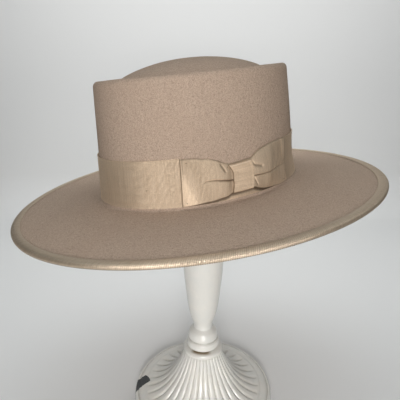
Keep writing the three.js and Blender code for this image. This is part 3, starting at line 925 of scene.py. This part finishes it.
def bow_knot():
    rise, off = knot_path()
    share = 0.5 - 0.5 * np.cos(np.linspace(0, math.pi, KNOT_ACROSS))
    walked = np.concatenate([[0], np.cumsum(np.hypot(np.diff(rise), np.diff(off)))])
    up = rise / KNOT_HEIGHT + 0.5
    front = smooth(KNOT_EDGES, "front", up)
    back = smooth(KNOT_EDGES, "back", up)
    length = lerp(front, back, share[:, None])
    swell = smooth(KNOT_FACE, "rise", share)[:, None] * ease((off - BOW_BACK) / KNOT_CORNER)
    bulge = KNOT_BULGE * (1 - (2 * up - 1) ** 2)
    outer_off = off + swell + bulge + rib_wave(walked, RIB_PITCH) * ease((off - BOW_BACK) / KNOT_CORNER)
    dip = lerp(KNOT_DIP_FRONT, KNOT_DIP_BACK, share[:, None]) * ease(2 * up - 1)
    middle = BAND_LIFT + BAND_HEIGHT / 2 + KNOT_SHIFT - dip
    outer = on_crown(length, middle + rise, outer_off)
    inner_rise = np.clip(rise, RIBBON_WALL - KNOT_HEIGHT / 2, KNOT_HEIGHT / 2 - RIBBON_WALL)
    inner_off = np.maximum(off - RIBBON_WALL, BOW_BACK)
    inner = on_crown(length, middle + inner_rise, inner_off + swell)[:, ::-1]
    grid = np.concatenate([outer, inner], axis=1)
    along = closed_ribs(np.concatenate([walked, walked[::-1]]))
    from_side = KNOT_WIDTH * np.minimum(share, 1 - share)[:, None]
    # Painted shade along the knot's sides and where it wraps round to the back
    shade = np.maximum(near(from_side, EDGE_SHADE), near(off - BOW_BACK, KNOT_CORNER))
    fields = {"painted_fold_shade": np.concatenate([shade, 0 * shade], axis=1)}
    return skin(
        "bow_centre_knot",
        in_row_frame(grid),
        ends=True,
        ribs=lambda i, j: (along[j], share[i] * KNOT_WIDTH),
        fields=fields,
    )


def thread_stitch(name, length, height, off, tilt):
    """One short thread end, as a small bead lying on the ribbon."""
    turn = ring_angles(STITCH_SIDES)
    t = np.linspace(-1, 1, STITCH_SIDES + 2)[1:-1, None]
    radius = STITCH_RADIUS * np.sqrt(1 - t * t)
    along = STITCH_LENGTH / 2 * t
    aside = radius * np.cos(turn)
    s = length + along * math.cos(tilt) - aside * math.sin(tilt)
    z = height + along * math.sin(tilt) + aside * math.cos(tilt)
    tip = STITCH_LENGTH / 2 * np.array([-1, 1])
    tips = on_crown(length + tip * math.cos(tilt), height + tip * math.sin(tilt), off)
    return skin(name, in_row_frame(on_crown(s, z, off + radius * np.sin(turn))), poles=in_row_frame(tips))


# Stand

def lathe(radii, heights, angle):
    return stack(radii[:, None] * np.cos(angle), radii[:, None] * np.sin(angle), heights[:, None])


def stand_stem():
    bottom = BASE_HEIGHT + SEAT_GAP
    shaft_bottom = bottom + RINGS_HEIGHT
    head_centre = STAND_HEIGHT - HEAD_RADIUS
    ring_up = np.linspace(0, 1, RINGS_ROWS)
    shaft_up = np.linspace(0, STEM["up"][-1], SHAFT_ROWS)[1:]
    turn = np.linspace(HEAD_START, math.pi / 2, HEAD_ROWS)[:-1]
    rings = RINGS_RADIUS * smooth(RINGS, "out", ring_up), bottom + RINGS_HEIGHT * ring_up
    shaft = STEM_RADIUS * smooth(STEM, "out", shaft_up), lerp(shaft_bottom, head_centre, shaft_up)
    head = HEAD_RADIUS * np.cos(turn), head_centre + HEAD_RADIUS * np.sin(turn)
    radii = np.concatenate([rings[0], shaft[0], head[0]])
    heights = np.concatenate([rings[1], shaft[1], head[1]])
    angle = ring_angles(STEM_SIDES)
    grid = lathe(radii, heights, angle)
    groove = bottom + RINGS_HEIGHT * RINGS_GROOVE
    # Grime and painted shade in the ring groove and the joint at the stem's foot
    grime = near(heights - groove, GRIME_AND_SHADE_REACH) + near(heights - bottom, GRIME_AND_SHADE_REACH)
    unchipped = np.full(grid.shape[:2], -1.0)
    fields = {"grime": grime[:, None] + 0 * angle, "stain": crack_stain(grid), "chip": unchipped}
    poles = np.array([[0, 0, bottom], [0, 0, STAND_HEIGHT]])
    return skin("turned_stem", grid, poles=poles, fields=fields)


def crack_stain(points):
    """Brown stain in the joint under the rings, only on the front."""
    angle = np.arctan2(points[..., 1], points[..., 0])
    radius = np.hypot(points[..., 0], points[..., 1])
    round_it = ease(CRACK_SOLID - np.abs(angle - CRACK_ANGLE) / CRACK_HALF * CRACK_FALL)
    beside = near(points[..., 2] - BASE_HEIGHT, CRACK_WIDTH)
    return round_it * beside * ease((CRACK_RADIUS - radius) / CRACK_WIDTH + 0.5)


def base_profile():
    """Radius, height, flute depth and soiling with painted shade of the fluted base, from the collar's top
    to the foot.
    """
    collar_down = np.linspace(0, 1, COLLAR_ROWS)
    collar = COLLAR_RADIUS * smooth(COLLAR, "out", collar_down), BASE_HEIGHT - COLLAR_HEIGHT * collar_down
    flute_top = COLLAR_RADIUS * FLUTE_TOP
    along = np.linspace(0, 1, FLUTE_ROWS) ** FLUTE_CROWDING
    radius = lerp(flute_top, FLUTE_END_RADIUS, along)
    share = (PLATE_RADIUS - radius) / (PLATE_RADIUS - flute_top)
    fluted = radius, lerp(PLATE_HEIGHT, BASE_HEIGHT - COLLAR_HEIGHT, share ** TRUMPET_FLARE)
    rim = BASE_RADIUS * RIM["out"], PLATE_HEIGHT * RIM["up"]
    radii = np.concatenate([collar[0], fluted[0], rim[0]])
    heights = np.concatenate([collar[1], fluted[1], rim[1]])
    depth = np.concatenate([0 * collar_down, FLUTE_DEPTH * smooth(FLUTES, "deep", along), 0 * rim[0]])
    collar_grime_and_shade = COLLAR_GRIME_AND_SHADE * collar_down ** COLLAR_GRIME_AND_SHADE_POWER
    grime = np.concatenate([collar_grime_and_shade, FLUTE_GRIME_AND_SHADE * np.exp(-along / FLUTE_GRIME_AND_SHADE_REACH), RIM["grime"]])
    return radii, heights, depth, grime


def distance_inside(points, outline):
    """Distance inside a closed outline on the plan, negative outside it."""
    x, y = points[..., 0], points[..., 1]
    nearest = np.full(x.shape, np.inf)
    inside = np.zeros(x.shape, bool)
    for (x0, y0), (x1, y1) in zip(outline, np.roll(outline, -1, axis=0)):
        run = (x1 - x0) ** 2 + (y1 - y0) ** 2
        t = np.clip(((x - x0) * (x1 - x0) + (y - y0) * (y1 - y0)) / run, 0, 1)
        nearest = np.minimum(nearest, np.hypot(x - lerp(x0, x1, t), y - lerp(y0, y1, t)))
        crosses = (y0 > y) != (y1 > y)
        if y1 != y0:
            inside ^= crosses & (x < lerp(x0, x1, (y - y0) / (y1 - y0)))
    return np.where(inside, nearest, -nearest)


def stand_base():
    radii, heights, depth, grime = base_profile()
    angle = ring_angles(FLUTE_COUNT * SIDES_PER_FLUTE)
    place = (angle * FLUTE_COUNT / (2 * math.pi) + 0.5) % 1
    valley = np.abs(2 * place - 1) ** FLUTE_SHARPNESS
    slope_r = np.gradient(radii)
    slope_z = np.gradient(heights)
    size = np.hypot(slope_r, slope_z)
    cut = depth[:, None] * valley
    grid = lathe(radii, heights, angle)
    chip = np.maximum(distance_inside(grid, CHIP), distance_inside(grid, SCRATCH))
    cut = cut + CHIP_DEPTH * ease(chip / CHIP_EDGE)
    r = radii[:, None] + cut * (slope_z / size)[:, None]
    z = heights[:, None] - cut * (slope_r / size)[:, None]
    z = np.maximum(z, 0)
    grid = stack(r * np.cos(angle), r * np.sin(angle), z)
    # Grime and painted shade under the collar, in the flute hollows and round the rim
    dirt_and_shade = grime[:, None] + (depth / FLUTE_DEPTH)[:, None] * valley ** 2
    fields = {"grime": dirt_and_shade, "stain": crack_stain(grid), "chip": chip * MILLIMETRES}
    poles = np.array([[0, 0, BASE_HEIGHT], [0, 0, 0]])
    return skin("fluted_base", grid, poles=poles, fields=fields)


# Materials

def new_material(name, **values):
    made = bpy.data.materials.new(name)
    made.use_nodes = True
    shader = made.node_tree.nodes["Principled BSDF"]
    for socket, value in values.items():
        shader.inputs[socket.replace("_", " ")].default_value = value
    return made, made.node_tree, shader


def node(tree, kind, inputs, **settings):
    """A node whose inputs are set to values or linked to other nodes' outputs."""
    made = tree.nodes.new(kind)
    for key, value in settings.items():
        setattr(made, key, value)
    for socket, value in inputs.items():
        if isinstance(value, bpy.types.NodeSocket):
            tree.links.new(value, made.inputs[socket])
        else:
            made.inputs[socket].default_value = value
    return made


def noise(tree, place, size, detail=NOISE_DETAIL):
    """Noise with grains of a size in metres, stretched so that it fills 0 to 1."""
    grain = node(tree, "ShaderNodeTexNoise", {"Vector": place, "Scale": 1 / size, "Detail": detail})
    return spread(tree, grain.outputs[0], NOISE_LOW, NOISE_HIGH)


def spread(tree, value, low, high, to_low=0.0, to_high=1.0):
    ends = {"Value": value, "From Min": low, "From Max": high, "To Min": to_low, "To Max": to_high}
    return node(tree, "ShaderNodeMapRange", ends).outputs[0]


def maths(tree, operation, a, b=0.0):
    return node(tree, "ShaderNodeMath", {0: a, 1: b}, operation=operation).outputs[0]


def blend(tree, share, a, b):
    return node(tree, "ShaderNodeMix", {0: share, 6: a, 7: b}, data_type="RGBA").outputs[2]


def set_colour(tree, shader, colour, relief, depth):
    tree.links.new(colour, shader.inputs["Base Color"])
    bump = node(tree, "ShaderNodeBump", {"Height": relief, "Distance": depth, "Strength": 1.0})
    tree.links.new(bump.outputs[0], shader.inputs["Normal"])


def felt_material():
    made, tree, shader = new_material("wool_felt", Roughness=0.95, Specular_IOR_Level=0.1)
    place = node(tree, "ShaderNodeTexCoord", {}).outputs["Object"]
    grain = noise(tree, place, FELT_GRAIN_SIZE, FINE_DETAIL)
    fleck = noise(tree, place, FELT_FLECK_SIZE)
    patch = noise(tree, place, FELT_PATCH_SIZE, FINE_DETAIL)
    colour = blend(tree, grain, FELT_DARK, FELT_LIGHT)
    colour = blend(tree, maths(tree, "MULTIPLY", fleck, FLECK_SHARE), colour, FELT_LIGHT)
    colour = blend(tree, maths(tree, "MULTIPLY", patch, PATCH_SHARE), colour, FELT_MOTTLE)
    set_colour(tree, shader, colour, maths(tree, "ADD", grain, fleck), FELT_RELIEF)
    return made


def ribbon_material(name, base, light, pitch, gloss, rough):
    made, tree, shader = new_material(
        name,
        Roughness=rough,
        Metallic=gloss,
        Specular_IOR_Level=0.3,
        Anisotropic=0.9,
        Anisotropic_Rotation=0.25,
    )
    on_ribbon = node(tree, "ShaderNodeUVMap", {}, uv_map="ribbon").outputs[0]
    along = node(tree, "ShaderNodeTangent", {}, direction_type="UV_MAP", uv_map="ribbon").outputs[0]
    tree.links.new(along, shader.inputs["Tangent"])
    parts = node(tree, "ShaderNodeSeparateXYZ", {0: on_ribbon})
    turns = maths(tree, "MULTIPLY", parts.outputs[0], math.pi / pitch)
    wave = maths(tree, "ABSOLUTE", maths(tree, "COSINE", turns))
    valley = spread(tree, wave, 0.0, VALLEY_WIDTH, 1.0, 0.0)
    stretch = {"Vector": on_ribbon, "Scale": (1 / pitch, STREAK_CROWDING, 1.0)}
    streak_place = node(tree, "ShaderNodeMapping", stretch).outputs[0]
    streaks = node(tree, "ShaderNodeTexNoise", {"Vector": streak_place, "Scale": STREAK_SCALE})
    streak = spread(tree, streaks.outputs[0], NOISE_LOW, NOISE_HIGH)
    place = node(tree, "ShaderNodeTexCoord", {}).outputs["Object"]
    weave = noise(tree, place, WEAVE_SIZE)
    colour = blend(tree, streak, base, light)
    colour = blend(tree, maths(tree, "MULTIPLY", weave, WEAVE_SHARE), colour, RIBBON_DARK_WEAVE_AND_SHADE)
    # Painted shade in the hollows between the ribs
    colour = blend(tree, maths(tree, "MULTIPLY", valley, VALLEY_SHADE_SHARE), colour, RIBBON_DARK_WEAVE_AND_SHADE)
    # Painted shade in creases, along edges and under the bow, read from a point field
    painted_fold_shade = node(tree, "ShaderNodeAttribute", {}, attribute_name="painted_fold_shade").outputs["Fac"]
    colour = blend(tree, maths(tree, "MULTIPLY", painted_fold_shade, PAINTED_SHADE_SHARE), colour, RIBBON_PAINTED_SHADE)
    set_colour(tree, shader, colour, maths(tree, "ADD", wave, weave), RIBBON_RELIEF)
    return made


def paint_material():
    made, tree, shader = new_material(
        "stand_paint", Specular_IOR_Level=0.5, Coat_Weight=0.6, Coat_Roughness=0.12
    )
    place = node(tree, "ShaderNodeTexCoord", {}).outputs["Object"]
    cloud = noise(tree, place, CLOUD_SIZE, FINE_DETAIL)
    speck = noise(tree, place, SPECK_SIZE, FINE_DETAIL)
    fields = {}
    for field in ("grime", "stain", "chip"):
        fields[field] = node(tree, "ShaderNodeAttribute", {}, attribute_name=field).outputs["Fac"]
    # Grime and painted shade from the grime field, laid on unevenly
    uneven = spread(tree, speck, 0.0, 1.0, GRIME_AND_SHADE_THIN, GRIME_AND_SHADE_THICK)
    grime = maths(tree, "MULTIPLY", fields["grime"], uneven)
    torn = spread(tree, noise(tree, place, RAGGED_SIZE), 0.0, 1.0, -RAGGED_REACH, RAGGED_REACH)
    bare = spread(tree, maths(tree, "ADD", fields["chip"], torn), 0.0, CHIP_FADE)
    colour = blend(tree, cloud, PAINT, PAINT_COOL)
    colour = blend(tree, grime, colour, GRIME_AND_SHADE)
    colour = blend(tree, fields["stain"], colour, STAIN)
    colour = blend(tree, bare, colour, CHIP_BLACK)
    rough = spread(tree, bare, 0.0, 1.0, PAINT_ROUGH, BARE_ROUGH)
    tree.links.new(rough, shader.inputs["Roughness"])
    set_colour(tree, shader, colour, speck, PAINT_RELIEF)
    return made


def plain_material(name, colour, roughness):
    return new_material(name, Base_Color=colour, Roughness=roughness, Specular_IOR_Level=0.2)[0]


# Stage, light and camera

def stage_sheet():
    """A plain pale floor that sweeps up into a wall."""
    turn = np.linspace(0, math.pi / 2, SWEEP_STEPS)
    bend = WALL_AWAY - SWEEP * (1 - np.sin(turn))
    along = np.concatenate([[FLOOR_FRONT, FLOOR_MIDDLE], bend, [WALL_AWAY]])
    rise = np.concatenate([[0, 0], SWEEP * (1 - np.cos(turn)), [WALL_HEIGHT]])
    points = []
    faces = []
    for y, z in zip(along, rise):
        points += [(-WALL_REACH, y, z), (WALL_REACH, y, z)]
    for k in range(len(along) - 1):
        faces.append((2 * k, 2 * k + 1, 2 * k + 3, 2 * k + 2))
    mesh = bpy.data.meshes.new("floor")
    mesh.from_pydata(points, [], faces)
    mesh.polygons.foreach_set("use_smooth", [True] * len(faces))
    floor = bpy.data.objects.new("floor", mesh)
    bpy.context.scene.collection.objects.link(floor)
    mesh.materials.append(plain_material("floor_paper", FLOOR, FLOOR_ROUGH))
    floor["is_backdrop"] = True


def area_light(name, power, wide, tall, place, aim, colour, beam=math.pi):
    data = bpy.data.lights.new(name, "AREA")
    data.energy = power
    data.shape = "RECTANGLE"
    data.size = wide
    data.size_y = tall
    data.color = colour
    data.spread = beam
    light = bpy.data.objects.new(name, data)
    bpy.context.scene.collection.objects.link(light)
    light.location = place
    light.rotation_euler = (Vector(aim) - light.location).to_track_quat("-Z", "Y").to_euler()


def sky_light():
    world = bpy.data.worlds.new("soft_room")
    world.use_nodes = True
    sky = world.node_tree.nodes["Background"]
    sky.inputs["Color"].default_value = SKY_COLOUR
    sky.inputs["Strength"].default_value = SKY_STRENGTH
    bpy.context.scene.world = world


def photo_camera():
    data = bpy.data.cameras.new("camera")
    data.sensor_width = SENSOR
    data.lens = LENS
    camera = bpy.data.objects.new("camera", data)
    bpy.context.scene.collection.objects.link(camera)
    camera.location = (CAMERA_ASIDE, -CAMERA_AWAY, HAT.translation.z + CAMERA_ABOVE_BRIM)
    camera.rotation_euler = (math.pi / 2 - CAMERA_PITCH, 0, 0)
    bpy.context.scene.camera = camera


# The whole scene

felt = felt_material()
ribbon = ribbon_material("grosgrain", RIBBON_BASE, RIBBON_LIGHT, RIB_PITCH, RIBBON_GLOSS, RIBBON_ROUGH)
edge_ribbon = ribbon_material(
    "edge_grosgrain", EDGE_SHADED_BASE, EDGE_SHADED_LIGHT, BINDING_RIB_PITCH, EDGE_GLOSS, EDGE_ROUGH
)
thread = plain_material("thread", THREAD, THREAD_ROUGH)
paint = paint_material()

finish_piece(felt_body(), "felt", felt, "felt_body")
finish_piece(ribbon_band(), "ribbon", ribbon, "hat_band")
finish_piece(edge_binding(), "ribbon", edge_ribbon, "brim_binding")
finish_piece(bow_wings(), "ribbon", ribbon, "bow_ribbon")
finish_piece(bow_knot(), "ribbon", ribbon, "bow_knot")
for number, stitch in enumerate(zip(*STITCHES.values()), start=1):
    finish_piece(thread_stitch(f"stitch_{number}", *stitch), "ribbon", thread)
finish_piece(stand_base(), "stand_paint", paint, "stand_base")
finish_piece(stand_stem(), "stand_paint", paint, "stand_stem")

stage_sheet()
area_light("key", KEY_POWER, KEY_SIZE, KEY_SIZE, KEY_PLACE, KEY_AIM, KEY_COLOUR)
area_light("top", TOP_POWER, TOP_SIZE, TOP_SIZE, TOP_PLACE, TOP_AIM, TOP_COLOUR)
area_light("low", LOW_POWER, LOW_WIDE, LOW_TALL, LOW_PLACE, LOW_AIM, LOW_COLOUR, LOW_SPREAD)
area_light("wash", WASH_POWER, WASH_SIZE, WASH_SIZE, WASH_PLACE, WASH_AIM, WASH_COLOUR)
sky_light()
photo_camera()
bpy.context.scene.view_settings.view_transform = "Standard"

boxes = {"cad": CAD_BOX, "visual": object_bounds()}
{name: [list(corner) for corner in box] for name, box in boxes.items()}
